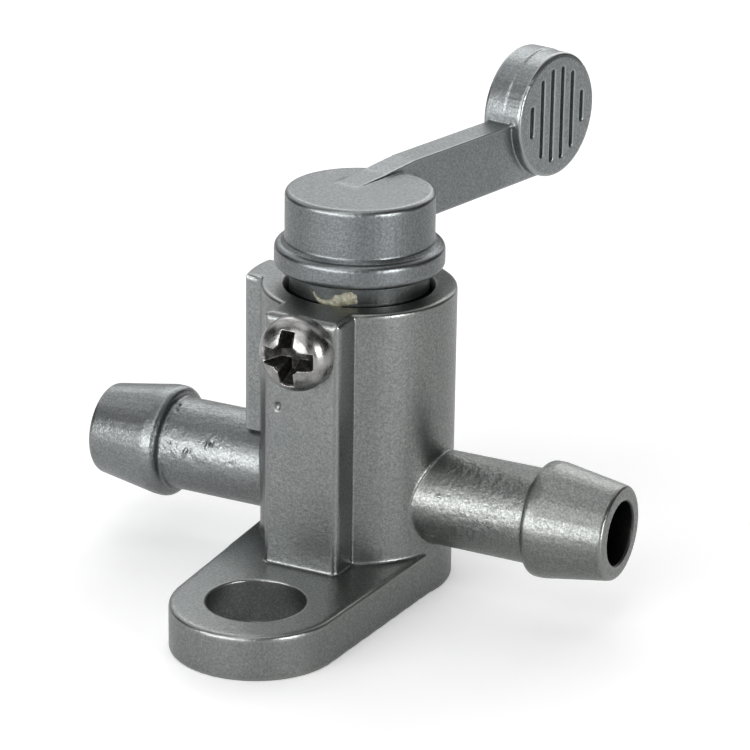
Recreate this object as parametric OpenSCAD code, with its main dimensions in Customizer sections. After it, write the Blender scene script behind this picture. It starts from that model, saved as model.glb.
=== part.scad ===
// Inline fuel tap: a die-cast body with two barbed hose spigots and a lug,
// and a one-piece lever and plug that turns in the body's blind bore.
// Origin: on the plug's axis at the underside of the mounting lug.
// X runs along the hose spigots, Z up the plug, and the lug reaches to -Y.

/* [Body] */
// Outside diameter of the upright barrel
barrel_d = 13; // [12:0.1:15]
// Height of the barrel above the lug's underside
body_h = 20.5; // [19.5:0.1:24]
// Diameter of the blind bore that the plug turns in
bore_d = 9.4; // [8.6:0.1:9.8]
// Thickness of metal under the blind bore
bore_floor = 2.5; // [1.5:0.1:2.8]
// Depth of the lead-in chamfer at the bore's mouth
mouth_chamfer_h = 0.6; // [0.2:0.1:1]
// How far the lead-in chamfer widens the mouth
mouth_chamfer_w = 0.4; // [0.1:0.1:0.6]
// Rounding of the casting's upper edges
edge_round = 0.25; // [0.1:0.05:0.35]

/* [Mounting lug] */
// Thickness of the lug
lug_t = 3.05; // [2.5:0.05:4]
// Distance from the plug's axis to the lug's hole
lug_reach = 13.93; // [13:0.01:20]
// Diameter of the lug's hole
lug_hole_d = 6.5; // [4:0.1:7]
// Radius of the lug's round end
lug_end_r = 5.65; // [5:0.05:7]
// Half width of the lug where it leaves the barrel
lug_root_r = 6.4; // [5.7:0.05:6.45]

/* [Hose spigots] */
// Height of the spigots' axis above the lug's underside
spigot_z = 6.5; // [6.3:0.1:8.5]
// Distance from the plug's axis to a spigot's mouth
spigot_reach = 19.34; // [17:0.01:26]
// Outside diameter of the spigot's tube
tube_d = 6.4; // [5.8:0.1:7]
// Diameter of the fuel passage
passage_d = 4.28; // [3:0.02:4.6]
// Largest diameter of the barb
barb_d = 7.78; // [7.2:0.02:8.6]
// Length from the barb's shoulder to the mouth
barb_len = 5.64; // [4.5:0.01:7]
// Length of the cone from the barb's crest to the mouth
barb_cone_len = 4.63; // [3.5:0.01:5]
// Diameter of the barb's cone at the mouth
barb_nose_d = 6.3; // [5.4:0.1:6.6]

/* [Screw pad and rib] */
// Width of the upright pad that carries the screw
pad_w = 5.5; // [5:0.1:7]
// Distance from the plug's axis to the pad's face
pad_front = 8.2; // [7.8:0.1:9.5]
// Rounding of the pad's upright corners
pad_corner_r = 0.5; // [0.1:0.05:0.6]
// Rounding of the pad's upper edges
pad_top_r = 0.5; // [0.1:0.05:0.6]
// Distance from the plug's axis to the rib's outer face
rib_reach = 7.7; // [7:0.1:9]
// Distance from the plug's axis to the rib's front face
rib_front = 2.1; // [1.5:0.1:2.6]
// Rounding of the rib's upright corners
rib_corner_r = 0.35; // [0.1:0.05:0.6]
// Distance from the plug's axis to the rib's back face
rib_back = 1.25; // [1:0.05:2]
// How far the rib's lower end sinks into the left spigot
rib_sink = 0.3; // [0.1:0.1:0.8]

/* [Stop screw] */
// Distance from the barrel's top down to the stop screw's axis
screw_drop = 2.2; // [2:0.1:2.8]
// Diameter of the screw's thread
screw_d = 2.4; // [2:0.1:2.6]
// Diameter of the screw's head
head_d = 5; // [4.4:0.1:5.4]
// Height of the screw's domed head
head_h = 2.1; // [1.6:0.05:2.3]
// Height of the head's straight edge under the dome
head_edge = 0.6; // [0.3:0.05:0.8]
// Depth of the head's cross recess
recess_depth = 1.4; // [0.8:0.1:1.5]
// Width across the arms of the cross recess
recess_w = 3.6; // [2.2:0.1:4]
// Thickness of one arm of the cross recess
recess_arm = 1.1; // [0.5:0.05:1.3]
// Diameter of the screw's dog point
point_d = 1.8; // [1.4:0.1:2]
// How far the dog point reaches into the plug's stop groove
point_reach = 1; // [0.6:0.1:1.1]

/* [Lever and plug] */
// Angle of the lever from the open position, over the right spigot
lever_angle = 78.9; // [0:0.1:90]
// Turn from fully open to fully closed
lever_travel = 90; // [80:1:100]
// Diameter of the cap
cap_d = 9.92; // [9.4:0.02:10.6]
// Height of the cap's top above the collar's underside
cap_h = 5.22; // [4.4:0.01:7]
// Rounding of the cap's upper edge
cap_round = 0.4; // [0.1:0.05:0.6]
// Width of the sloping foot between the cap and the collar
cap_foot = 0.25; // [0.05:0.05:0.3]
// Diameter of the collar under the cap
collar_d = 11.3; // [10.8:0.1:12]
// Height of the neck that shows between the barrel's top and the collar
neck_h = 1.25; // [0.6:0.05:2]
// Height of the collar
collar_h = 1.67; // [1.2:0.01:2.6]
// Rounding of the collar's edges
collar_round = 0.45; // [0.1:0.05:0.55]
// Thickness of the lever's arm
arm_t = 1.93; // [1.5:0.01:2.6]
// Distance from the plug's axis to the arm's near face
arm_offset = 0.2; // [0:0.05:0.5]
// Height of the arm's underside above the collar's underside
arm_rise = 1.29; // [0.6:0.01:2.4]
// Height of the arm from its underside to its straight top
arm_h = 4.39; // [3:0.01:6]
// Radius of the curve that lifts the arm's top off the cap
arm_sweep_r = 25.6; // [15:0.1:40]
// Distance from the plug's axis to the thumb disc's centre
disc_reach = 21.43; // [18:0.01:30]
// Diameter of the thumb disc
disc_d = 8.9; // [7:0.1:10]
// How far the disc reaches below the arm's underside
disc_drop = 0.1; // [0:0.05:0.5]
// Thickness of the thumb disc
disc_t = 3.15; // [2.4:0.05:4]
// How far the disc stands proud of the arm's near face
disc_proud = 0.7; // [0.2:0.05:1]
// Rounding of the disc's edges
disc_round = 0.22; // [0.1:0.02:0.4]
// Distance between the disc's grip grooves
groove_pitch = 1.18; // [0.9:0.02:1.2]
// Width of a grip groove
groove_w = 0.42; // [0.2:0.02:0.5]
// Depth of a grip groove
groove_depth = 0.45; // [0.1:0.05:0.6]

/* [Seals] */
// Thickness of the stem ring's rubber
ring_t = 1.24; // [1:0.02:1.4]
// Outer diameter of a shut-off ring
port_ring_d = 6.1; // [5.6:0.1:6.6]
// Width of a shut-off ring's rubber
port_ring_w = 0.85; // [0.6:0.05:1]
// Depth of a shut-off ring's groove
port_ring_depth = 1; // [0.7:0.05:1.3]

/* [Clearances] */
// Gap between the plug and the bore all round
running_gap = 0.05; // [0.02:0.01:0.1]
// Gap between a ring and the metal round it
ring_gap = 0.03; // [0.02:0.01:0.05]
// Gap between the plug's end and the bore's floor
end_gap = 0.3; // [0.2:0.05:0.5]
// Gap between the screw's point and the stop groove
stop_gap = 0.25; // [0.15:0.05:0.4]
// Gap between the screw and its hole
thread_gap = 0.05; // [0.02:0.01:0.08]

/* [Hidden] */

barrel_r = barrel_d / 2;
bore_r = bore_d / 2;
plug_r = bore_r - running_gap;
plug_z = bore_floor + end_gap;
passage_r = passage_d / 2;
rib_z = spigot_z + tube_d / 2 - rib_sink;
screw_z = body_h - screw_drop;
collar_z = body_h + neck_h;
cap_top = collar_z + cap_h;
arm_z = collar_z + arm_rise;
arm_top = arm_z + arm_h;
screw_r = screw_d / 2;
point_r = point_d / 2;
groove_half_h = point_r + stop_gap;
groove_r = plug_r - point_reach - stop_gap;
arm_far = arm_offset + arm_t;
disc_r = disc_d / 2;
barb_shoulder = spigot_reach - barb_len;
barb_round = 0.5;
nose_round = 0.3;
plug_end_chamfer = 0.4;
ring_wall = 0.1;
ring_path_r = plug_r - ring_t / 2;
ring_z = (spigot_z + port_ring_d / 2 + screw_z - groove_half_h) / 2;
grip_half_lengths = [3.35, 2.8, 1.15];
overlap = 0.01;
fine = 96;
small = 48;

cast_grey = [0.56, 0.58, 0.59];
bright = [0.8, 0.8, 0.8];
rubber_black = [0.1, 0.1, 0.1];

// Lays a turned piece along X: its upright axis becomes the X axis
module along_x() {
    rotate([0, 90, 0]) rotate([0, 0, 90]) children();
}

// Moves its children from the plug's open position to the lever's angle
module at_lever() {
    rotate([0, 0, lever_angle]) children();
}

// Upright disc profile with its outer upper corner rounded, for rotate_extrude
module rounded_top_profile(r, z0, z1, f) {
    translate([0, z0]) square([r, z1 - z0 - f]);
    translate([0, z0]) square([r - f, z1 - z0]);
    translate([r - f, z1 - f]) circle(f, $fn = small);
}

// Square with all four corners rounded
module rounded_square(x0, x1, y0, y1, f) {
    translate([x0 + f, y0]) square([x1 - x0 - 2 * f, y1 - y0]);
    translate([x0, y0 + f]) square([x1 - x0, y1 - y0 - 2 * f]);
    for (x = [x0 + f, x1 - f], y = [y0 + f, y1 - f])
        translate([x, y]) circle(f, $fn = small);
}

// Lug with a rounded upper edge: a round end and two flanks that run on into the barrel
module lug() {
    lean = asin((lug_root_r - lug_end_r) / lug_reach);
    flank = lug_reach * cos(lean);
    translate([0, -lug_reach, 0]) {
        rotate([0, 0, 180 - lean]) rotate_extrude(angle = 180 + 2 * lean, $fn = fine)
            rounded_top_profile(lug_end_r, 0, lug_t, edge_round);
        lug_flank(flank, lean);
        mirror([1, 0, 0]) lug_flank(flank, lean);
    }
}

// One half of the lug's straight stretch, leaning out towards the barrel
module lug_flank(length, lean) {
    rotate([0, 0, -lean]) rotate([90, 0, 180]) mirror([1, 0, 0]) linear_extrude(length) {
        rounded_top_profile(lug_end_r, 0, lug_t, edge_round);
        translate([-lug_end_r / 2, 0]) square([lug_end_r, lug_t]);
    }
}

// Upright barrel without its bore
module barrel() {
    rotate_extrude($fn = fine) rounded_top_profile(barrel_r, 0, body_h, edge_round);
}

// Upright pad for the stop screw, rounded at its corners and upper edges
module screw_pad() {
    f = pad_top_r;
    half = pad_w / 2;
    intersection() {
        linear_extrude(body_h) rounded_square(-half, half, -pad_front, 0, pad_corner_r);
        translate([half, 0, 0]) rotate([90, 0, -90]) linear_extrude(pad_w)
            rounded_square(-barrel_r, pad_front, -lug_t, body_h, f);
        rotate([90, 0, 0]) linear_extrude(pad_front) rounded_square(-half, half, -lug_t, body_h, f);
    }
}

// Rib above the left spigot, with an outer face that follows the barrel
module side_rib() {
    intersection() {
        translate([0, 0, rib_z]) linear_extrude(body_h - rib_z)
            rounded_square(-rib_reach - 1, 0, -rib_front, rib_back, rib_corner_r);
        rotate_extrude($fn = fine) rounded_top_profile(rib_reach, 0, body_h, edge_round);
    }
}

// One barbed hose spigot along +X, without its passage
module spigot() {
    crest_r = barb_d / 2;
    nose_r = barb_nose_d / 2;
    cone_start = spigot_reach - barb_cone_len;
    nose_start = spigot_reach - nose_round;
    nose_start_r = nose_r + nose_round * (crest_r - nose_r) / barb_cone_len;
    translate([0, 0, spigot_z]) along_x() rotate_extrude($fn = fine) {
        square([tube_d / 2, barb_shoulder + barb_round]);
        translate([0, barb_shoulder]) square([crest_r - barb_round, cone_start - barb_shoulder]);
        translate([crest_r - barb_round, barb_shoulder + barb_round]) circle(barb_round, $fn = small);
        translate([0, barb_shoulder + barb_round])
            square([crest_r, cone_start - barb_shoulder - barb_round]);
        polygon([[0, cone_start], [crest_r, cone_start], [nose_start_r, nose_start],
                 [nose_start_r - nose_round, spigot_reach], [0, spigot_reach]]);
        translate([nose_start_r - nose_round, nose_start]) circle(nose_round, $fn = small);
    }
}

// The die-cast body with its bores
module tap_body() {
    color(cast_grey) difference() {
        union() {
            barrel();
            lug();
            screw_pad();
            side_rib();
            spigot();
            mirror([1, 0, 0]) spigot();
        }
        translate([0, 0, bore_floor]) cylinder(h = body_h, r = bore_r, $fn = fine);
        translate([0, 0, body_h - mouth_chamfer_h])
            cylinder(h = mouth_chamfer_h + overlap, r1 = bore_r,
                     r2 = bore_r + mouth_chamfer_w + overlap, $fn = fine);
        translate([-spigot_reach - 1, 0, spigot_z]) rotate([0, 90, 0])
            cylinder(h = 2 * spigot_reach + 2, r = passage_r, $fn = small);
        translate([0, -lug_reach, -1]) cylinder(h = lug_t + 2, r = lug_hole_d / 2, $fn = fine);
        translate([0, 0, screw_z]) rotate([90, 0, 0])
            cylinder(h = pad_front + 1, r = screw_r + thread_gap, $fn = small);
    }
}

// Groove round part of the plug: the screw's point rides in it and stops at its ends
module stop_groove() {
    first = -90 - (lever_travel - lever_angle);
    translate([0, 0, screw_z]) {
        rotate([0, 0, first]) rotate_extrude(angle = lever_travel, $fn = fine)
            translate([groove_r, -groove_half_h]) square([plug_r, 2 * groove_half_h]);
        for (end = [first, first + lever_travel])
            rotate([0, 0, end]) rotate([0, 90, 0]) translate([0, 0, groove_r])
                cylinder(h = plug_r, r = groove_half_h, $fn = small);
    }
}

// Ring-shaped groove in the plug's flank for one shut-off ring
module port_ring_groove(side) {
    r = port_ring_d / 2 + ring_gap;
    translate([0, 0, spigot_z]) rotate([side * -90, 0, 0]) difference() {
        cylinder(h = plug_r + 1, r = r, $fn = small);
        translate([0, 0, -1]) cylinder(h = plug_r + 3, r = r - port_ring_w - 2 * ring_gap, $fn = small);
    }
}

// Plug below the collar, with its port and grooves, in the open position
module plug() {
    difference() {
        union() {
            translate([0, 0, plug_z]) cylinder(h = plug_end_chamfer, r1 = plug_r - plug_end_chamfer,
                                               r2 = plug_r, $fn = fine);
            translate([0, 0, plug_z + plug_end_chamfer])
                cylinder(h = collar_z - plug_z - plug_end_chamfer + overlap, r = plug_r, $fn = fine);
        }
        translate([-plug_r - 1, 0, spigot_z]) rotate([0, 90, 0])
            cylinder(h = 2 * plug_r + 2, r = passage_r, $fn = small);
        translate([0, 0, ring_z]) rotate_extrude($fn = fine)
            translate([plug_r - ring_t - ring_gap, -ring_t / 2 - ring_wall])
                square([ring_t + 1, ring_t + 2 * ring_wall]);
        difference() {
            for (side = [1, -1]) port_ring_groove(side);
            cylinder(h = body_h, r = plug_r - port_ring_depth, $fn = fine);
        }
    }
}

// Cap and collar turned as one with the plug
module cap() {
    cap_r = cap_d / 2;
    edge_r = collar_d / 2 - collar_round;
    rotate_extrude($fn = fine) {
        translate([0, collar_z]) square([edge_r, collar_h]);
        translate([0, collar_z + collar_round]) square([collar_d / 2, collar_h - 2 * collar_round]);
        for (z = [collar_round, collar_h - collar_round])
            translate([edge_r, collar_z + z]) circle(collar_round, $fn = small);
        rounded_top_profile(cap_r, collar_z, cap_top, cap_round);
        translate([0, collar_z + collar_h])
            polygon([[0, 0], [cap_r + cap_foot, 0], [cap_r, cap_foot], [0, cap_foot]]);
    }
}

// Side profile of the arm, drawn as (distance from the axis, height)
module arm_profile() {
    difference() {
        translate([0, arm_z]) square([disc_reach, arm_top - arm_z]);
        translate([0, cap_top + arm_sweep_r]) circle(arm_sweep_r, $fn = 4 * fine);
    }
}

// Lever's arm along +X
module arm() {
    translate([0, arm_far, 0]) rotate([90, 0, 0]) linear_extrude(arm_t) arm_profile();
}

// Thumb disc with grip grooves in its near face
module thumb_disc() {
    f = disc_round;
    disc_z = arm_z + disc_r - disc_drop;
    translate([disc_reach, arm_offset - disc_proud, disc_z]) difference() {
        rotate([-90, 0, 0]) rotate_extrude($fn = fine) difference() {
            rounded_square(-disc_r, disc_r, 0, disc_t, f);
            translate([-disc_r - 1, -1]) square([disc_r + 1, disc_t + 2]);
        }
        for (side = [1, -1], i = [0 : len(grip_half_lengths) - 1])
            translate([side * (i + 0.5) * groove_pitch, 0, 0]) grip_groove(grip_half_lengths[i]);
    }
}

// One upright grip groove with round ends
module grip_groove(half_len) {
    r = groove_w / 2;
    reach = half_len - r;
    rotate([90, 0, 0]) translate([0, 0, -groove_depth]) linear_extrude(groove_depth + 1) {
        translate([-r, -reach]) square([groove_w, 2 * reach]);
        for (end = [reach, -reach]) translate([0, end]) circle(r, $fn = 24);
    }
}

// The one-piece casting of thumb disc, arm, cap, collar and plug
module lever_plug() {
    color(cast_grey) difference() {
        at_lever() {
            plug();
            cap();
            arm();
            thumb_disc();
        }
        stop_groove();
    }
}

// Rubber ring round the stem, between the ports and the stop groove
module stem_ring() {
    color(rubber_black) translate([0, 0, ring_z]) rotate_extrude($fn = fine)
        translate([ring_path_r, 0]) circle(ring_t / 2, $fn = small);
}

// Rubber ring in the plug's flank that seals a passage when the tap is closed
module shutoff_ring(side) {
    r = port_ring_d / 2;
    color(rubber_black) at_lever() intersection() {
        translate([0, 0, spigot_z]) rotate([side * -90, 0, 0]) difference() {
            cylinder(h = plug_r + 1, r = r, $fn = small);
            translate([0, 0, -1]) cylinder(h = plug_r + 3, r = r - port_ring_w, $fn = small);
        }
        difference() {
            translate([0, 0, bore_floor]) cylinder(h = ring_z, r = plug_r, $fn = fine);
            cylinder(h = body_h, r = plug_r - port_ring_depth + ring_gap, $fn = fine);
        }
    }
}

module shutoff_ring_inlet() {
    shutoff_ring(1);
}

module shutoff_ring_outlet() {
    shutoff_ring(-1);
}

// Cross recess in the screw's head
module cross_recess() {
    for (turn = [0, 90])
        rotate([0, 0, turn]) translate([-recess_w / 2, -recess_arm / 2, 0])
            cube([recess_w, recess_arm, recess_depth + 1]);
}

// Domed screw that holds the plug down and stops its turn
module stop_screw() {
    dome_h = head_h - head_edge;
    head_r = head_d / 2;
    dome_r = (head_r * head_r + dome_h * dome_h) / (2 * dome_h);
    tip_y = plug_r - point_reach;
    shank_end = bore_r + 2 * running_gap;
    color(bright) translate([0, 0, screw_z]) rotate([90, 0, 0]) {
        translate([0, 0, tip_y]) cylinder(h = pad_front - tip_y, r = point_r, $fn = small);
        translate([0, 0, shank_end]) cylinder(h = pad_front - shank_end + overlap, r = screw_r, $fn = small);
        difference() {
            translate([0, 0, pad_front]) intersection() {
                cylinder(h = head_h, r = head_r, $fn = fine);
                translate([0, 0, head_h - dome_r]) sphere(dome_r, $fn = fine);
            }
            translate([0, 0, pad_front + head_h - recess_depth]) cross_recess();
        }
    }
}

tap_body();
lever_plug();
stem_ring();
shutoff_ring_inlet();
shutoff_ring_outlet();
stop_screw();
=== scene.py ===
# %% [markdown]
# # An inline fuel tap
# A small fuel tap is two zinc castings and a screw. The body has a barrel, a lug for one bolt and two hose
# spigots. The lever, its thumb disc and the plug that opens and shuts the fuel are a second casting. This
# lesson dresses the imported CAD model: it softens the castings as a die leaves them, makes the screw and a
# smear of grease, gives every piece its metal or rubber, and lights the tap on a white table.

# %% Load the frame
import math

import bpy
import numpy as np
from mathutils import Matrix, Vector


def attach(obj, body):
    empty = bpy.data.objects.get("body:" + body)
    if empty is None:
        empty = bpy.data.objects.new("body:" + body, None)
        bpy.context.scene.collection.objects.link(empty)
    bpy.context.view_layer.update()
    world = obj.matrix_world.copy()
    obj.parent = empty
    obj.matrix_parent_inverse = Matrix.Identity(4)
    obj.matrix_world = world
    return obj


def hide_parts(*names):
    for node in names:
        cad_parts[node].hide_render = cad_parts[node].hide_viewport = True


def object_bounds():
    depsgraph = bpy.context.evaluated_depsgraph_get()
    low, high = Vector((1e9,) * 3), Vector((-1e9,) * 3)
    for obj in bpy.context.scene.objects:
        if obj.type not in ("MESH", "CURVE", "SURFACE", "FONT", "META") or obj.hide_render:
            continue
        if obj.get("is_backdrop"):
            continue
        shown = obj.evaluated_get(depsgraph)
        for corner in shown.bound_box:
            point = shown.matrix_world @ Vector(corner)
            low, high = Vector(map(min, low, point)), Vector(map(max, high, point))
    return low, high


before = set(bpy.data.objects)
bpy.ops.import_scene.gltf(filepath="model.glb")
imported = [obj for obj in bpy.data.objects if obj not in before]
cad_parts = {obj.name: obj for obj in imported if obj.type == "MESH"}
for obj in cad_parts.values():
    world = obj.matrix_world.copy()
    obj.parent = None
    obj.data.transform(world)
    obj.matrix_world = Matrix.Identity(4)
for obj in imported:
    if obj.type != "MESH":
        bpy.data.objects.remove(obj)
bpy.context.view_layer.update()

# %% [markdown]
# ## The working unit
# The tap is under 50 mm long, and Blender's remesh takes no voxel under 0.1 of a unit's thousandth. So each
# casting is worked on at a thousand times its size, one unit to the millimetre, and is brought back to
# metres when it is finished. Sizes in this lesson are then plain millimetres, which are easy to check with
# a ruler on the real part.

# %% Helpers for modelling
MM = 0.001
MERGE_WITHIN = 0.0005


def select_only(obj):
    """Makes obj the one selected and active object."""
    bpy.ops.object.select_all(action="DESELECT")
    obj.select_set(True)
    bpy.context.view_layer.objects.active = obj


def named(name):
    """Names the object that was just added, and its mesh."""
    obj = bpy.context.active_object
    obj.name = obj.data.name = name
    return obj


def apply_all(obj):
    """Applies the place, turn, scale and modifiers of obj, in that order."""
    select_only(obj)
    bpy.ops.object.transform_apply(location=True, rotation=True, scale=True)
    for modifier in list(obj.modifiers):
        bpy.ops.object.modifier_apply(modifier=modifier.name)


def to_metres(obj):
    """Brings a piece made in millimetres to its real size."""
    obj.scale = (MM, MM, MM)
    select_only(obj)
    bpy.ops.object.transform_apply(location=True, rotation=True, scale=True)


def copy_of_node(node, name):
    """A merged copy of a CAD node's mesh, in millimetres. The node itself is left alone."""
    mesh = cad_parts[node].data.copy()
    obj = bpy.data.objects.new(name, mesh)
    bpy.context.collection.objects.link(obj)
    mesh.name = name
    mesh.materials.clear()
    select_only(obj)
    bpy.ops.mesh.customdata_custom_splitnormals_clear()
    obj.scale = (1 / MM, 1 / MM, 1 / MM)
    apply_all(obj)
    bpy.ops.object.mode_set(mode="EDIT")
    bpy.ops.mesh.select_all(action="SELECT")
    bpy.ops.mesh.remove_doubles(threshold=MERGE_WITHIN)
    bpy.ops.object.mode_set(mode="OBJECT")
    return obj


def join_into(target, *others):
    """Joins the other pieces into target."""
    bpy.ops.object.select_all(action="DESELECT")
    for obj in (*others, target):
        obj.select_set(True)
    bpy.context.view_layer.objects.active = target
    bpy.ops.object.join()


def cut_with(target, *cutters):
    """Takes each cutter's volume out of target, and deletes the cutter."""
    for cutter in cutters:
        modifier = target.modifiers.new("cut", "BOOLEAN")
        modifier.operation, modifier.solver, modifier.object = "DIFFERENCE", "EXACT", cutter
        select_only(target)
        bpy.ops.object.modifier_apply(modifier=modifier.name)
        bpy.data.objects.remove(cutter)


def edit(obj, mode="FACE"):
    """Opens obj in edit mode with nothing selected."""
    select_only(obj)
    bpy.ops.object.mode_set(mode="EDIT")
    bpy.ops.mesh.select_mode(type=mode)
    bpy.ops.mesh.select_all(action="DESELECT")


def select_faces(obj, wanted):
    """Selects the faces for which wanted(face) is true, and leaves obj in edit mode."""
    bpy.ops.object.mode_set(mode="OBJECT")
    for face in obj.data.polygons:
        face.select = wanted(face)
    bpy.ops.object.mode_set(mode="EDIT")


def triangles(obj):
    """The number of triangles in obj's mesh."""
    return sum(len(face.vertices) - 2 for face in obj.data.polygons)


# %% [markdown]
# ## The camera
# The photo looks down at the tap from its right front corner, through a long lens. Its angle was worked out
# from the round edges of the casting, so the camera is set by numbers and not by eye. A camera looks along
# its own -Z, and its matrix is built from its right, up and back directions.

# %% Camera
AZIMUTH, ELEVATION, ROLL = math.radians(26.895), math.radians(20.641), math.radians(0.848)
TARGET = Vector((1.265, 0.0, 14.185)) * MM
DISTANCE = 221.988 * MM
SENSOR, PICTURE_WIDTH, FOCAL_PIXELS = 36.0, 750, 3339.13
back = Vector((math.sin(AZIMUTH) * math.cos(ELEVATION), -math.cos(AZIMUTH) * math.cos(ELEVATION),
               math.sin(ELEVATION)))
right = Vector((0, 0, 1)).cross(back).normalized()
up = back.cross(right)
rolled_right = math.cos(ROLL) * right + math.sin(ROLL) * up
rolled_up = math.cos(ROLL) * up - math.sin(ROLL) * right
bpy.ops.object.camera_add()
camera = bpy.context.active_object
camera.data.sensor_width = SENSOR
camera.data.lens = FOCAL_PIXELS * SENSOR / PICTURE_WIDTH
camera.data.clip_start, camera.data.clip_end = 0.01, 10.0
turn = Matrix((rolled_right, rolled_up, back)).transposed().to_4x4()
camera.matrix_world = Matrix.Translation(TARGET + back * DISTANCE) @ turn
bpy.context.scene.camera = camera
print("lens in mm:", round(camera.data.lens, 1))

# %% [markdown]
# ## Table and backdrop
# Studio shots like this one stand on a white sweep. A plane under the lug keeps the soft shadow, and a
# little white light that only the camera sees lifts it to the paper white of the picture. The world is
# white to the camera too, but nearly dark to everything else. Metal shows what it mirrors, and a white room
# on all sides would leave it flat and grey, so here only the lamps and the table give it light and shade.

# %% Floor
TABLE_SIZE, TABLE_GAP = 2.4, 0.03 * MM
PAPER, PAPER_LIFT = (0.9, 0.9, 0.9, 1), 0.23
bpy.ops.mesh.primitive_plane_add(size=TABLE_SIZE, location=(0, 0, -TABLE_GAP))
floor = named("floor")
floor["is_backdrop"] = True
paper = bpy.data.materials.new("white_paper")
paper.use_nodes = True
nodes, links = paper.node_tree.nodes, paper.node_tree.links
surface = nodes["Principled BSDF"]
surface.inputs["Base Color"].default_value = PAPER
surface.inputs["Roughness"].default_value = 0.9
surface.inputs["Specular IOR Level"].default_value = 0.1
rays = nodes.new("ShaderNodeLightPath")
lift = nodes.new("ShaderNodeEmission")
lift.inputs["Strength"].default_value = PAPER_LIFT
both = nodes.new("ShaderNodeAddShader")
seen = nodes.new("ShaderNodeMixShader")
links.new(surface.outputs["BSDF"], both.inputs[0])
links.new(lift.outputs["Emission"], both.inputs[1])
links.new(rays.outputs["Is Camera Ray"], seen.inputs["Fac"])
links.new(surface.outputs["BSDF"], seen.inputs[1])
links.new(both.outputs["Shader"], seen.inputs[2])
links.new(seen.outputs["Shader"], nodes["Material Output"].inputs["Surface"])
floor.data.materials.append(paper)
print("floor made:", TABLE_SIZE, "m wide")

# %% World
ROOM_LIGHT = 0.015
world = bpy.context.scene.world or bpy.data.worlds.new("studio")
bpy.context.scene.world = world
world.use_nodes = True
nodes, links = world.node_tree.nodes, world.node_tree.links
room = nodes["Background"]
room.inputs["Color"].default_value = (1, 1, 1, 1)
room.inputs["Strength"].default_value = ROOM_LIGHT
white = nodes.new("ShaderNodeBackground")
white.inputs["Strength"].default_value = 1.0
rays = nodes.new("ShaderNodeLightPath")
mix = nodes.new("ShaderNodeMixShader")
links.new(rays.outputs["Is Camera Ray"], mix.inputs["Fac"])
links.new(room.outputs["Background"], mix.inputs[1])
links.new(white.outputs["Background"], mix.inputs[2])
links.new(mix.outputs["Shader"], nodes["World Output"].inputs["Surface"])
print("world made, white to the camera and", ROOM_LIGHT, "to the tap")

# %% [markdown]
# ## Lamps
# Soft boxes are area lamps. Each is given by the direction it stands in, its size and its power, and is
# turned to face the tap. Their powers weren't set by eye: the tap was rendered once under each lamp alone,
# and the mix of those pictures was solved that comes nearest to the tones of a real casting on such a table.
# The narrow strip at the right is what draws the thin bright line along each tube.

# %% Lamps
LAMP_AIM = Vector((0, 0, 12)) * MM


def softbox(name, azimuth, elevation, power, width=0.3, height=0.3, distance=0.5):
    """An area lamp that faces the tap from the given direction, in degrees."""
    a, e = math.radians(azimuth), math.radians(elevation)
    place = Vector((math.sin(a) * math.cos(e), -math.cos(a) * math.cos(e), math.sin(e))) * distance
    bpy.ops.object.light_add(type="AREA", location=place)
    lamp = bpy.context.active_object
    lamp.name = name
    lamp.data.shape = "RECTANGLE"
    lamp.data.size, lamp.data.size_y = width, height
    lamp.data.energy = power
    lamp.rotation_mode = "QUATERNION"
    lamp.rotation_quaternion = (place - LAMP_AIM).to_track_quat("Z", "Y")
    return lamp


for name, azimuth, elevation, power in (
        ("front_box", 0, 4, 1.53), ("front_high_box", 0, 48, 0.54), ("overhead_box", 0, 89, 0.39),
        ("back_right_box", 150, 48, 0.18), ("back_box", 180, 26, 0.51), ("back_low_box", 210, 26, 0.24),
        ("back_mid_box", 210, 48, 0.57), ("back_left_box", 240, 26, 0.24), ("left_box", 270, 48, 0.27),
        ("left_front_box", 330, 4, 1.26), ("left_front_high_box", 330, 26, 0.42)):
    softbox(name, azimuth, elevation, power)
softbox("right_strip", 70, 4, 2.1, width=0.17)
view_settings = bpy.context.scene.view_settings
view_settings.view_transform = "Standard"

# %% [markdown]
# ## Cast zinc
# The castings are bare die-cast zinc, tumbled to a satin grain. Up close the surface is a mottle of tiny
# bright and dull spots with a faint blue cast. A picture laid on it would stretch over the curves, so the
# spots are noises in the piece's own coordinates: they run through the metal at one true scale. A few
# helpers first, since every finish below is built from the same steps.

# %% Helpers for materials


def new_material(name):
    """A new material, its shader and the piece's own coordinates."""
    material = bpy.data.materials.new(name)
    material.use_nodes = True
    shader = material.node_tree.nodes["Principled BSDF"]
    coordinates = material.node_tree.nodes.new("ShaderNodeTexCoord").outputs["Object"]
    return material, shader, coordinates


def noise(tree, coordinates, scale, detail, roughness=0.6):
    """A noise texture of that scale on the piece's own coordinates."""
    node = tree.nodes.new("ShaderNodeTexNoise")
    node.inputs["Scale"].default_value = scale
    node.inputs["Detail"].default_value = detail
    node.inputs["Roughness"].default_value = roughness
    tree.links.new(coordinates, node.inputs["Vector"])
    return node.outputs["Fac"]


def spread(tree, value, low, high, to_low=0, to_high=1):
    """Maps value from low..high to to_low..to_high, without going outside."""
    node = tree.nodes.new("ShaderNodeMapRange")
    for slot, number in zip(("From Min", "From Max", "To Min", "To Max"), (low, high, to_low, to_high)):
        node.inputs[slot].default_value = number
    tree.links.new(value, node.inputs["Value"])
    return node.outputs["Result"]


def ramp(tree, length, start, end, to_start=0, to_end=1):
    """Maps a length from start..end, in millimetres, to to_start..to_end."""
    return spread(tree, length, start * MM, end * MM, to_start, to_end)


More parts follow.
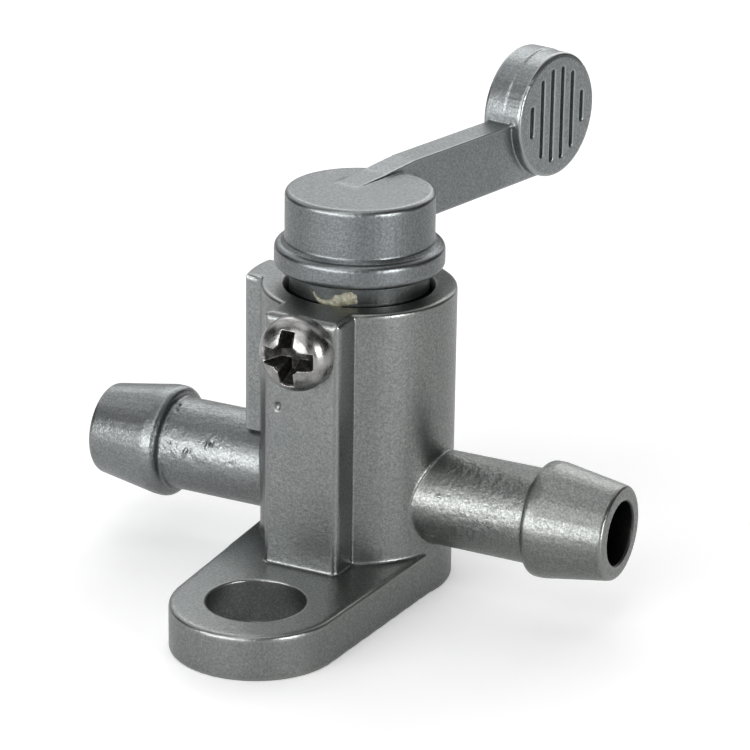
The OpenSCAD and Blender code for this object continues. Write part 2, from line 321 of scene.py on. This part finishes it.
def mixed(tree, factor, dark, light):
    """The colour between dark and light at factor."""
    node = tree.nodes.new("ShaderNodeMix")
    node.data_type = "RGBA"
    for slot, colour in ((6, dark), (7, light)):
        if isinstance(colour, tuple):
            node.inputs[slot].default_value = (*colour, 1)
        else:
            tree.links.new(colour, node.inputs[slot])
    tree.links.new(factor, node.inputs[0])
    return node.outputs[2]


def tinted(tree, factor, colour, tint):
    """The colour multiplied by tint, as far as factor says."""
    node = tree.nodes.new("ShaderNodeMix")
    node.data_type, node.blend_type = "RGBA", "MULTIPLY"
    node.inputs[7].default_value = (*tint, 1)
    tree.links.new(factor, node.inputs[0])
    tree.links.new(colour, node.inputs[6])
    return node.outputs[2]


def times(tree, one, other):
    """The product of two values."""
    node = tree.nodes.new("ShaderNodeMath")
    node.operation = "MULTIPLY"
    tree.links.new(one, node.inputs[0])
    tree.links.new(other, node.inputs[1])
    return node.outputs[0]


def from_axis(tree, coordinates, parts, along, level=0.0):
    """The distance from the line that runs along X or Z through the plug's axis, at that level."""
    foot = tree.nodes.new("ShaderNodeCombineXYZ")
    foot.inputs["Z"].default_value = level
    tree.links.new(parts.outputs[along], foot.inputs[along])
    distance = tree.nodes.new("ShaderNodeVectorMath")
    distance.operation = "DISTANCE"
    tree.links.new(coordinates, distance.inputs[0])
    tree.links.new(foot.outputs[0], distance.inputs[1])
    return distance.outputs["Value"]


def raised(tree, height, strength, depth, below=None):
    """A bump of that depth in millimetres, laid over the normal below."""
    node = tree.nodes.new("ShaderNodeBump")
    node.inputs["Distance"].default_value = depth * MM
    tree.links.new(height, node.inputs["Height"])
    if isinstance(strength, float):
        node.inputs["Strength"].default_value = strength
    else:
        tree.links.new(strength, node.inputs["Strength"])
    if below:
        tree.links.new(below, node.inputs["Normal"])
    return node.outputs["Normal"]


# %% Grain, mottle and stains
cast, surface, own = new_material("cast_zinc")
tree = cast.node_tree
surface.inputs["Metallic"].default_value = 1.0
stain = noise(tree, own, 330, 5)
mottle = noise(tree, own, 2400, 3, 0.7)
speckle = noise(tree, own, 6500, 2, 0.7)
grain = noise(tree, own, 8000, 2)
metal = mixed(tree, spread(tree, speckle, 0.36, 0.66), (0.158, 0.17, 0.174), (0.288, 0.302, 0.304))
metal = mixed(tree, spread(tree, mottle, 0.35, 0.7, 0, 0.25), metal, (0.185, 0.2, 0.206))
metal = mixed(tree, spread(tree, stain, 0.42, 0.72, 0, 0.28), metal, (0.165, 0.182, 0.192))
print("cast zinc has", len(tree.nodes), "nodes so far")

# %% [markdown]
# ### What use leaves on the metal, and painted shade and light
# A finish also tells what has happened to a piece, but some of these masks are painted shade and light.
# Painted shade, with some grime, darkens the neck under the collar, and painted shade darkens the bore and
# the fuel passages. A warm film tints the body, more towards +X, and fades out above the barrel's rim. The
# edges that stand out are lighter, partly from tumbling wear and partly as a painted highlight. The cap's
# wall and the collar are darker with painted shade, and the thumb disc is lighter with painted light. Each is
# a mask, made from the height or from the distance to an axis, in the CAD model's own sizes. The wear mask is
# read from the
# mesh: it is stored on each casting below, where the casting is softened.

# %% Neck, edges, bore, painted shade and painted light
SPIGOT_Z = 6.5
BARREL_TOP, COLLAR_FOOT, CAP_TOP = 20.5, 21.7, 26.97
NECK_SHADE_AND_GRIME, HOLLOW_SHADE, WORN_EDGE_AND_HIGHLIGHT = (0.05, 0.056, 0.056), (0.02, 0.022, 0.022), (0.285, 0.298, 0.3)
WARM_FILM, WALL_SHADE, DISC_LIGHT = (1.0, 0.978, 0.93), (0.84, 0.84, 0.85), (1.24, 1.24, 1.24)
place = tree.nodes.new("ShaderNodeSeparateXYZ")
tree.links.new(own, place.inputs[0])
across, level = place.outputs["X"], place.outputs["Z"]
from_stem = from_axis(tree, own, place, "Z")
from_passage = from_axis(tree, own, place, "X", SPIGOT_Z * MM)

# Painted shade under the collar, with some grime, darkens the neck.
on_neck = times(tree, ramp(tree, level, BARREL_TOP + 0.03, BARREL_TOP + 0.12),
                ramp(tree, level, COLLAR_FOOT - 0.04, COLLAR_FOOT + 0.1, 0.72, 0))
metal = mixed(tree, times(tree, on_neck, spread(tree, stain, 0.3, 0.6, 0.7, 1)), metal, NECK_SHADE_AND_GRIME)
# Edges that stand out are lighter: partly tumbling wear, partly a painted highlight.
edges = tree.nodes.new("ShaderNodeAttribute")
edges.attribute_name = "wear"
wear_and_highlight = spread(tree, edges.outputs["Fac"], 0.5, 2.2)
metal = mixed(tree, wear_and_highlight, metal, WORN_EDGE_AND_HIGHLIGHT)
# Painted shade inside the fuel passages.
metal = mixed(tree, ramp(tree, from_passage, 2.2, 2.3, 0.85, 0), metal, HOLLOW_SHADE)
# Painted shade in the bore under the rim, seen in the gap round the plug.
in_bore = times(tree, ramp(tree, from_stem, 5.0, 5.2, 0.75, 0),
                ramp(tree, level, BARREL_TOP - 0.15, BARREL_TOP - 0.05, 1, 0))
metal = mixed(tree, in_bore, metal, HOLLOW_SHADE)
filmed = times(tree, ramp(tree, level, BARREL_TOP, COLLAR_FOOT, 1, 0), ramp(tree, across, -10, 8, 0.3, 1))
metal = tinted(tree, filmed, metal, WARM_FILM)
on_lever = ramp(tree, level, COLLAR_FOOT - 0.1, COLLAR_FOOT + 0.3)
# Painted shade darkens the cap's wall and the collar.
on_wall = times(tree, on_lever, ramp(tree, level, CAP_TOP - 0.57, CAP_TOP - 0.17, 1, 0))
metal = tinted(tree, times(tree, on_wall, ramp(tree, from_stem, 6.2, 7.2, 1, 0)), metal, WALL_SHADE)
# Painted light brightens the thumb disc.
metal = tinted(tree, times(tree, on_lever, ramp(tree, from_stem, 15.5, 18)), metal, DISC_LIGHT)
tree.links.new(metal, surface.inputs["Base Color"])
print("cast zinc has", len(tree.nodes), "nodes with its masks")

# %% [markdown]
# ### Roughness and bump
# Bright spots are also the smoother ones, so the speckle drives the roughness as well, and worn edges are
# smoothest. A fine grain and the mottle raise the surface by a few hundredths of a millimetre. The tubes of
# the spigots, where the metal met last in the die, are a little wrinkled, so they get one more bump, which
# fades out before the barrel and the barbs.

# %% Roughness and bump
TUBE_STARTS, TUBE_ENDS, TUBE_TOP = 6.6, 14.8, 10.6
rub = tree.nodes.new("ShaderNodeMix")
tree.links.new(wear_and_highlight, rub.inputs[0])
tree.links.new(spread(tree, speckle, 0.3, 0.7, 0.41, 0.31), rub.inputs[2])
rub.inputs[3].default_value = 0.3
tree.links.new(rub.outputs[0], surface.inputs["Roughness"])

sideways = tree.nodes.new("ShaderNodeMath")
sideways.operation = "ABSOLUTE"
tree.links.new(across, sideways.inputs[0])
on_tubes = times(tree, ramp(tree, sideways.outputs[0], TUBE_STARTS, TUBE_STARTS + 1.4),
                 ramp(tree, sideways.outputs[0], TUBE_ENDS - 1.4, TUBE_ENDS, 1, 0.2))
on_tubes = times(tree, on_tubes, ramp(tree, level, TUBE_TOP - 0.4, TUBE_TOP, 1, 0))
fine = raised(tree, grain, 0.42, 0.02)
uneven = raised(tree, mottle, 0.3, 0.06, fine)
wrinkled = raised(tree, spread(tree, noise(tree, own, 1600, 4), 0.4, 0.64),
                  times(tree, on_tubes, spread(tree, stain, 0.4, 0.62, 0.12, 0.38)), 0.1, uneven)
tree.links.new(wrinkled, surface.inputs["Normal"])
print("cast zinc has", len(tree.nodes), "nodes in all")

# %% [markdown]
# ## The body casting
# Molten zinc never leaves a sharp edge, and where two forms meet it leaves a small fillet. Bevelling so many
# crossing forms edge by edge is slow and fragile. A voxel remesh turns the casting into an even skin, a
# smoothing pass then rounds every edge and corner by the same small amount, and a decimation pass takes
# out the faces that flat areas don't need. Before that last pass, while the points still lie evenly, the
# script measures how sharply the skin bends outwards at each point and stores it, for the worn edges and
# their painted highlight in the material. Blender's own pointiness gave streaks, because it follows the long
# thin faces of a thinned mesh.

# %% Softening a casting


def mark_wear(obj, rounds=6):
    """Stores how sharply each point of obj sticks out, per millimetre, as the attribute wear."""
    mesh = obj.data
    count = len(mesh.vertices)
    places, normals = np.empty(count * 3), np.empty(count * 3)
    mesh.vertices.foreach_get("co", places)
    mesh.vertices.foreach_get("normal", normals)
    pairs = np.empty(len(mesh.edges) * 2, int)
    mesh.edges.foreach_get("vertices", pairs)
    places, normals, pairs = places.reshape(-1, 3), normals.reshape(-1, 3), pairs.reshape(-1, 2)
    along = places[pairs[:, 1]] - places[pairs[:, 0]]
    bend = ((normals[pairs[:, 1]] - normals[pairs[:, 0]]) * along).sum(1) / (along ** 2).sum(1)
    share = np.bincount(pairs.ravel(), minlength=count)
    wear = np.bincount(pairs.ravel(), np.repeat(bend, 2), count) / share
    for _ in range(rounds):
        around = (np.bincount(pairs[:, 0], wear[pairs[:, 1]], count)
                  + np.bincount(pairs[:, 1], wear[pairs[:, 0]], count))
        wear = 0.5 * wear + 0.5 * around / share
    stored = mesh.attributes.new("wear", "FLOAT", "POINT")
    stored.data.foreach_set("value", np.maximum(wear, 0).astype(np.float32))
    print(obj.name, "wear from 0 to", round(float(wear.max()), 2), "per mm")


def relax(obj, passes, wanted=None):
    """Smooths obj, or only the points of it for which wanted(place) is true."""
    modifier = obj.modifiers.new("relax", "SMOOTH")
    modifier.factor, modifier.iterations = 0.5, passes
    if wanted:
        group = obj.vertex_groups.new(name="relaxed")
        group.add([point.index for point in obj.data.vertices if wanted(point.co)], 1.0, "REPLACE")
        modifier.vertex_group = group.name
    select_only(obj)
    bpy.ops.object.modifier_apply(modifier=modifier.name)
    obj.vertex_groups.clear()


def shrink_points(obj, wanted, factor, centre):
    """Draws the points of obj for which wanted(place) is true towards centre."""
    edit(obj, "VERT")
    bpy.ops.object.mode_set(mode="OBJECT")
    for point in obj.data.vertices:
        point.select = wanted(point.co)
    bpy.ops.object.mode_set(mode="EDIT")
    bpy.ops.transform.resize(value=(factor, factor, factor), center_override=centre)
    bpy.ops.object.mode_set(mode="OBJECT")


def soften(obj, voxel, passes, limit, rounder=(), stepped=()):
    """Rounds all edges of obj a little, those in rounder more, and leaves fewer triangles than limit.

    stepped lists points that are drawn towards a centre first: which, by what factor, and to where."""
    select_only(obj)
    obj.data.remesh_voxel_size = voxel
    obj.data.remesh_voxel_adaptivity = 0
    bpy.ops.object.voxel_remesh()
    for step in stepped:
        shrink_points(obj, *step)
    relax(obj, passes)
    for wanted, more in rounder:
        relax(obj, more, wanted)
    mark_wear(obj)
    full = triangles(obj)
    thin = obj.modifiers.new("thin", "DECIMATE")
    thin.ratio = min(1.0, limit / full)
    bpy.ops.object.modifier_apply(modifier=thin.name)
    bpy.ops.object.shade_smooth()
    print(obj.name, "went from", full, "to", triangles(obj), "triangles")


body = copy_of_node("tap_body", "body_casting")

# %% [markdown]
# ### Marks of the die
# Real castings carry small flaws, and they tell the eye that this is metal and not a drawing. Here they are
# true shapes: a pit in the pad under the screw, a dent at the rib's top corner, nicks and ridges on the left
# spigot's tube, and a few faint bumps. Each is a small stretched ball. Some are cut out of the casting and
# some are joined to it, and the remesh then melts them in.

# %% Casting flaws


def blob(place, size, turn=(0, 0, 0)):
    """A stretched ball for a flaw, in millimetres."""
    bpy.ops.object.select_all(action="DESELECT")
    bpy.ops.mesh.primitive_ico_sphere_add(subdivisions=3, radius=1, location=place, rotation=turn)
    ball = named("flaw")
    ball.scale = size
    apply_all(ball)
    return ball


TUBE_R = 3.2


def on_tube(x, degrees, sink=0.0):
    """A place on the tube of a spigot: degrees from the front (-Y) up to the top."""
    around = math.radians(degrees)
    reach = TUBE_R - sink
    return x, -reach * math.cos(around), SPIGOT_Z + reach * math.sin(around)


# each flaw: its place, its half sizes and, where it lies askew, its turn
PAD_PIT = ((-1.62, -8.2, 14.18), (0.22, 0.17, 0.34), (0, 0.25, 0))
RIB_DENT = ((-6.95, -2.15, 20.32), (0.5, 0.16, 0.14), (0, 0.1, 0))
TUBE_NICKS = (
    (on_tube(-13.42, 75), (0.2, 0.16, 0.14)), (on_tube(-13.3, 65), (0.2, 0.14, 0.12)),
    (on_tube(-12.9, 21), (0.14, 0.14, 0.16)), (on_tube(-11.3, 15), (0.12, 0.12, 0.3), (-0.25, 0.4, 0)),
    (on_tube(-9.7, 30), (0.12, 0.12, 0.28), (-0.5, 0.3, 0)), (on_tube(-7.95, 10), (0.2, 0.08, 0.12)),
    (on_tube(8.2, 28), (0.2, 0.07, 0.08)))
TUBE_RIDGES = (
    (on_tube(-11.55, 14, 0.02), (0.12, 0.12, 0.3), (-0.25, 0.4, 0)),
    (on_tube(-9.95, 26, 0.02), (0.12, 0.12, 0.34), (-0.45, 0.2, 0)),
    (on_tube(7.6, 24, 0.04), (0.3, 0.1, 0.12)))
PAD_BUMPS = (((-1.8, -8.17, 4.4), (0.14, 0.06, 0.12)), ((-0.2, -8.17, 4.9), (0.12, 0.06, 0.1)))
cut_with(body, *[blob(*flaw) for flaw in (PAD_PIT, RIB_DENT, *TUBE_NICKS)])
for flaw in (*TUBE_RIDGES, *PAD_BUMPS):
    join_into(body, blob(*flaw))
print("body with its flaws:", triangles(body), "triangles")

# %% [markdown]
# ### Softening the body
# Most edges get the same small round. The top edge of the lug's end and the mouths of the spigots, which
# hands, bolts and hoses rub, are rounder on the real part, so the points there are smoothed a second time.

# %% Soft body casting
LUG_REACH, MOUTHS = 13.93, 18.5


def on_lug_rim(place):
    """True on the outer top edge of the lug's round end."""
    outside = math.hypot(place.x, place.y + LUG_REACH)
    return 1.6 < place.z < 3.7 and outside > 4.5 and place.y < (-8.9 if abs(place.x) < 3.6 else -6.9)


def at_mouths(place):
    """True at the open ends of both spigots."""
    return abs(place.x) > MOUTHS


soften(body, voxel=0.1, passes=5, limit=190000, rounder=((on_lug_rim, 20), (at_mouths, 7)))
to_metres(body)
body.data.materials.append(cast)
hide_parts("tap_body")
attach(body, "body")

# %% [markdown]
# ## The lever casting
# The lever gets the same treatment. The grip grooves in its thumb disc are only a third of a millimetre
# wide, so its voxels are finer, and that makes many of them. The plug below the rim is never seen, so it is
# cut off first, kept as the CAD model has it, and joined on again at the end.

# %% Lever and plug
HIDDEN_BELOW = 19.4


def keep_side(obj, height, keep_above):
    """Cuts obj at a height, keeps one side of it and closes the cut."""
    edit(obj)
    bpy.ops.mesh.select_all(action="SELECT")
    bpy.ops.mesh.bisect(plane_co=(0, 0, height), plane_no=(0, 0, 1), use_fill=True,
                        clear_inner=keep_above, clear_outer=not keep_above)
    bpy.ops.object.mode_set(mode="OBJECT")


lever = copy_of_node("lever_plug", "lever_casting")
keep_side(lever, HIDDEN_BELOW, True)
plug = copy_of_node("lever_plug", "plug_end")
keep_side(plug, HIDDEN_BELOW + 0.1, False)
print("lever:", triangles(lever), "triangles, plug:", triangles(plug))

# %% [markdown]
# ### Fillet, kink and ramp
# Three forms are too slight for the CAD model. A low cone fills the corner between the cap's wall and the
# collar. The arm's top bends upwards in two soft steps, so a tilted block planes off the one hard kink. And
# the arm runs out on the cap in a shallow ramp, which is a second tilted block. The last line adds a small
# lump of metal at the arm's outer end.

# %% Forms on the cap and the arm
LEVER_ANGLE = math.radians(78.9)
COLLAR_TOP = 23.42
ARM_MIDDLE, ARM_THICK = 1.165, 1.93
bpy.ops.object.select_all(action="DESELECT")
bpy.ops.mesh.primitive_cone_add(vertices=128, radius1=5.36, radius2=4.92, depth=0.3,
                                location=(0, 0, COLLAR_TOP + 0.13))
join_into(lever, named("collar_fillet"))


def arm_block(name, middle, level, length, width, height, rise):
    """A block on the arm with its top at level in the middle, rising by rise towards the disc."""
    bpy.ops.object.select_all(action="DESELECT")
    bpy.ops.mesh.primitive_cube_add(size=1, location=(middle, ARM_MIDDLE, CAP_TOP + level - height / 2),
                                    rotation=(0, -math.atan(rise / length), 0), scale=(length, width, height))
    block = named(name)
    apply_all(block)
    block.rotation_euler = (0, 0, LEVER_ANGLE)
    apply_all(block)
    return block


cut_with(lever, arm_block("kink_cutter", 4.85, 0.853, 3.2, 2.6, 0.5, 0.263))
join_into(lever, arm_block("arm_ramp", 1.65, 0.12, 3.3, ARM_THICK, 0.4, 0.14))
join_into(lever, blob((3.13, 16.71, 27.42), (0.16, 0.2, 0.14)))
print("lever with its added forms:", triangles(lever), "triangles")

# %% [markdown]
# ### Softening the lever
# The two halves of the die never meet quite flush. On the thumb disc this leaves a faint step round the
# flank, so the points in front of the die line are drawn towards the disc's middle by a third of a percent.
# It is done in five levels, each a little higher, so that the step fades out before it meets the arm. The
# ramp's foot is smoothed much longer than the rest, until it flows into the cap.

# %% Soft lever casting
DISC_REACH, DISC_Z, DISC_R, FLANK_FROM, DISC_SEAM = 21.43, 27.39, 4.6, 4.1, 0.95
DISC_STEP, STEP_LEVELS = 0.9965, (28.2, 28.7, 29.2, 29.7, 30.2)
DISC_CENTRE = (DISC_REACH * math.cos(LEVER_ANGLE) - DISC_SEAM * math.sin(LEVER_ANGLE),
               DISC_REACH * math.sin(LEVER_ANGLE) + DISC_SEAM * math.cos(LEVER_ANGLE), DISC_Z)


def lever_place(place):
    """How far along the arm and how far across it a place is."""
    return (place.x * math.cos(LEVER_ANGLE) + place.y * math.sin(LEVER_ANGLE),
            place.y * math.cos(LEVER_ANGLE) - place.x * math.sin(LEVER_ANGLE))


def seam_above(level):
    """Says which points of the disc's flank lie in front of the die line and above that level."""
    def wanted(place):
        along, over = lever_place(place)
        on_flank = math.hypot(along - DISC_REACH, place.z - DISC_Z) > FLANK_FROM
        return over < DISC_SEAM and place.z > level and on_flank and along > DISC_REACH - DISC_R
    return wanted


def at_ramp_foot(place):
    """True where the ramp runs out on the cap's top."""
    along, over = lever_place(place)
    foot_end = 0.05 if over < 0.45 else 1.2
    return place.z > CAP_TOP - 0.15 and -0.8 < along < foot_end and abs(over - ARM_MIDDLE) < 1.5


soften(lever, voxel=0.065, passes=5, limit=185000, rounder=((at_ramp_foot, 50),),
       stepped=[(seam_above(level), DISC_STEP, DISC_CENTRE) for level in STEP_LEVELS])
join_into(lever, plug)
to_metres(lever)
lever.data.materials.append(cast)
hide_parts("lever_plug")
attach(lever, "lever")

# %% [markdown]
# ## Nickel plate, rubber and grease
# The screw is bright nickel plate, smoother than the castings, with the faint haze that handling leaves.
# Its recess gets a dark material of its own, which is painted shade with some dirt. The rings are hidden
# black nitrile rubber. The grease is a soft cream wax: light goes a little way into it, so it gets some
# subsurface scattering.

# %% Other materials
plate, surface, own = new_material("nickel_plate")
tree = plate.node_tree
surface.inputs["Metallic"].default_value = 1.0
haze = noise(tree, own, 1500, 4)
tint = mixed(tree, spread(tree, haze, 0.35, 0.7), (0.25, 0.247, 0.242), (0.40, 0.397, 0.39))
tree.links.new(tint, surface.inputs["Base Color"])
tree.links.new(spread(tree, haze, 0.3, 0.7, 0.23, 0.34), surface.inputs["Roughness"])

# The recess's material: painted shade, with some dirt.
shade_and_dirt, surface, own = new_material("recess_shade_and_dirt")
tree = shade_and_dirt.node_tree
surface.inputs["Metallic"].default_value = 0.8
recess_mottle = noise(tree, own, 3500, 3)
tint = mixed(tree, spread(tree, recess_mottle, 0.4, 0.65), (0.02, 0.02, 0.019), (0.085, 0.083, 0.078))
tree.links.new(tint, surface.inputs["Base Color"])
tree.links.new(spread(tree, recess_mottle, 0.3, 0.7, 0.45, 0.3), surface.inputs["Roughness"])

nitrile, surface, own = new_material("black_nitrile")
tree = nitrile.node_tree
bloom = noise(tree, own, 3000, 3)
tint = mixed(tree, spread(tree, bloom, 0.3, 0.7), (0.012, 0.012, 0.012), (0.03, 0.03, 0.03))
tree.links.new(tint, surface.inputs["Base Color"])
surface.inputs["Roughness"].default_value = 0.45

wax, surface, own = new_material("cream_grease")
tree = wax.node_tree
lumps = noise(tree, own, 2500, 4)
tint = mixed(tree, spread(tree, lumps, 0.35, 0.65), (0.15, 0.147, 0.105), (0.36, 0.352, 0.265))
tree.links.new(tint, surface.inputs["Base Color"])
surface.inputs["Roughness"].default_value = 0.38
surface.inputs["Subsurface Weight"].default_value = 0.25
surface.inputs["Subsurface Scale"].default_value = 0.0003
tree.links.new(raised(tree, lumps, 0.4, 0.06), surface.inputs["Normal"])

for node in ("stem_ring", "shutoff_ring_inlet", "shutoff_ring_outlet"):
    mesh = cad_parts[node].data
    mesh.materials.clear()
    mesh.materials.append(nitrile)
print("materials made:", [m.name for m in bpy.data.materials])

# %% [markdown]
# ## The stop screw
# A small pan head screw is punched cold from wire, which gives its head a soft dome. The head starts as a
# short cylinder, and its top face is extruded and narrowed ring by ring into the dome. It is made upright at
# the origin, where sizes are easy to read, and is turned to its place in the pad afterwards.

# %% Screw head
SCREW_HEIGHT, PAD_FRONT = 18.3, 8.2
HEAD_R, HEAD_H, HEAD_EDGE = 2.5, 2.1, 0.55
DOME_STEPS = 12


def dome(step):
    """The dome's width as a share of the head, and its height over the head's edge, at that step."""
    turned = math.pi / 2 * step / DOME_STEPS
    return math.cos(turned) ** 0.8, (HEAD_H - HEAD_EDGE) * math.sin(turned)


bpy.ops.object.select_all(action="DESELECT")
bpy.ops.mesh.primitive_cylinder_add(vertices=96, radius=HEAD_R, depth=HEAD_EDGE,
                                    location=(0, 0, HEAD_EDGE / 2))
screw = named("screw")
apply_all(screw)
edit(screw)
select_faces(screw, lambda face: face.center.z > HEAD_EDGE * 0.99)
for step in range(1, DOME_STEPS):
    (wide_before, high_before), (wide, high) = dome(step - 1), dome(step)
    bpy.ops.mesh.extrude_region_move(TRANSFORM_OT_translate={"value": (0, 0, high - high_before)})
    bpy.ops.transform.resize(value=(wide / wide_before, wide / wide_before, 1))
bpy.ops.object.mode_set(mode="OBJECT")
print("screw head has", triangles(screw), "triangles")

# %% [markdown]
# ### Cross recess and shank
# The cross is punched into the head, with arms that narrow as they go deeper and a flare between them. So
# the punch is built, and not the hole: two tapered bars and a cone, cut out of the head one after the other.
# The shank and the thin dog point that stops the lever are plain cylinders, joined on behind. The same
# softening as on the castings rolls the edges of the recess, and melts head and shank into one piece.

# %% Cross recess and shank
RECESS_DEPTH = 1.6
SHANK, DOG_POINT = (1.2, -3.4, 0.3), (0.9, -4.55, -3.2)  # radius, foot and top of each


def tapered_bar(length, width, turn):
    """One bar of the punch: full size above the head, narrowed in both directions at its foot."""
    bpy.ops.object.select_all(action="DESELECT")
    bpy.ops.mesh.primitive_cube_add(size=1, location=(0, 0, HEAD_H - RECESS_DEPTH + 1),
                                    scale=(length, width, 2))
    bar = named("punch_bar")
    apply_all(bar)
    edit(bar)
    select_faces(bar, lambda face: face.normal.z < -0.9)
    bpy.ops.transform.resize(value=(0.42, 0.5, 1))
    bpy.ops.object.mode_set(mode="OBJECT")
    bar.rotation_euler = (0, 0, turn)
    apply_all(bar)
    return bar


bpy.ops.object.select_all(action="DESELECT")
bpy.ops.mesh.primitive_cone_add(vertices=32, radius1=0.4, radius2=1.22, depth=1.7,
                                location=(0, 0, HEAD_H - 0.6))
cone = named("punch_cone")
cut_with(screw, tapered_bar(4.9, 1.4, 0), tapered_bar(5.0, 1.25, math.pi / 2), cone)
for radius, foot, top in (SHANK, DOG_POINT):
    bpy.ops.object.select_all(action="DESELECT")
    bpy.ops.mesh.primitive_cylinder_add(vertices=64, radius=radius, depth=top - foot,
                                        location=(0, 0, (top + foot) / 2))
    join_into(screw, bpy.context.active_object)
soften(screw, voxel=0.05, passes=5, limit=60000)
screw.rotation_euler = (math.pi / 2, 0, 0)
screw.location = (0, -PAD_FRONT, SCREW_HEIGHT)
apply_all(screw)
to_metres(screw)
print("screw from head to point in mm:", round(screw.dimensions.y / MM, 2))

# %% [markdown]
# ### Plate, and painted shade in the recess
# The plate covers the screw, and the recess is painted with shade and some dirt. The dome's form is known, so
# a face that lies well under the dome is in the recess and takes the second material. One flank, at the upper
# right, where light falls on it, is left out of the painted shade and keeps the plate.

# %% Finish of the screw
RECESS_REACH, BRIGHT_RIM, FLANK_CORNER = 2.3, 0.22, 0.25
screw.data.materials.append(plate)
screw.data.materials.append(shade_and_dirt)
for face in screw.data.polygons:
    away = math.hypot(face.center.x, face.center.z - SCREW_HEIGHT * MM) / MM
    out = -face.center.y / MM - PAD_FRONT
    dome_here = HEAD_EDGE + (HEAD_H - HEAD_EDGE) * math.sqrt(max(0.0, 1 - (away / HEAD_R) ** 2.5))
    # The flank where light falls is left out of the painted shade.
    lit_flank = (face.center.x > FLANK_CORNER * MM
                    and face.center.z > (SCREW_HEIGHT + FLANK_CORNER) * MM)
    if away < RECESS_REACH and 0 < out < dome_here - BRIGHT_RIM and not lit_flank:
        face.material_index = 1
# Counts the faces that carry the painted shade and dirt.
print("dirty faces in the recess:", sum(face.material_index for face in screw.data.polygons))
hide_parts("stop_screw")
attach(screw, "body")

# %% [markdown]
# ## The smear of grease
# A tap is put together with a dab of grease, and some of it shows on the neck under the collar. It has no
# form of its own, so it is built as wax would gather: a run of balls along the way the smear takes, each
# with its own size, melted into one lump by the remesh and laid against the neck.

# %% Grease
NECK_R = 4.65
SMEAR = (  # degrees round the neck from +X, height, radius of the ball, how far it stands proud
    (-102, 21.0, 0.12, 0.06), (-101, 20.88, 0.12, 0.07), (-99.6, 20.74, 0.14, 0.08), (-97.6, 20.6, 0.18, 0.1),
    (-95, 20.5, 0.22, 0.12), (-92, 20.44, 0.28, 0.14), (-88.5, 20.44, 0.34, 0.16), (-85, 20.5, 0.38, 0.17),
    (-82.5, 20.7, 0.36, 0.15), (-81.5, 20.95, 0.24, 0.1), (-79.5, 20.55, 0.4, 0.16),
    (-77.5, 20.85, 0.42, 0.16), (-74.5, 20.75, 0.45, 0.15), (-72, 21.0, 0.42, 0.13), (-70, 21.2, 0.32, 0.1),
    (-69.5, 20.8, 0.4, 0.11), (-67, 21.05, 0.34, 0.08), (-74, 21.15, 0.3, 0.1), (-66, 20.75, 0.28, 0.06))
smear = None
for degrees, high, radius, proud in SMEAR:
    around = math.radians(degrees)
    centre_r = NECK_R - radius + proud
    bpy.ops.object.select_all(action="DESELECT")
    bpy.ops.mesh.primitive_ico_sphere_add(
        subdivisions=4, radius=radius,
        location=(centre_r * math.cos(around), centre_r * math.sin(around), high))
    ball = named("smear_ball")
    if smear is None:
        smear = ball
        apply_all(smear)
    else:
        join_into(smear, ball)
soften(smear, voxel=0.04, passes=8, limit=20000)
smear.name = smear.data.name = "grease_smear"
to_metres(smear)
smear.data.materials.append(wax)
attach(smear, "lever")

# %% [markdown]
# ## Sizes and the end
# Softening only rounds edges, so the finished tap has to lie inside the box of the CAD model. The script
# measures the finished tap's box and prints it.

# %% Measure the sizes
low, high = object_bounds()
print("visual box in mm:", [round(v * 1000, 2) for v in (*low, *high)])
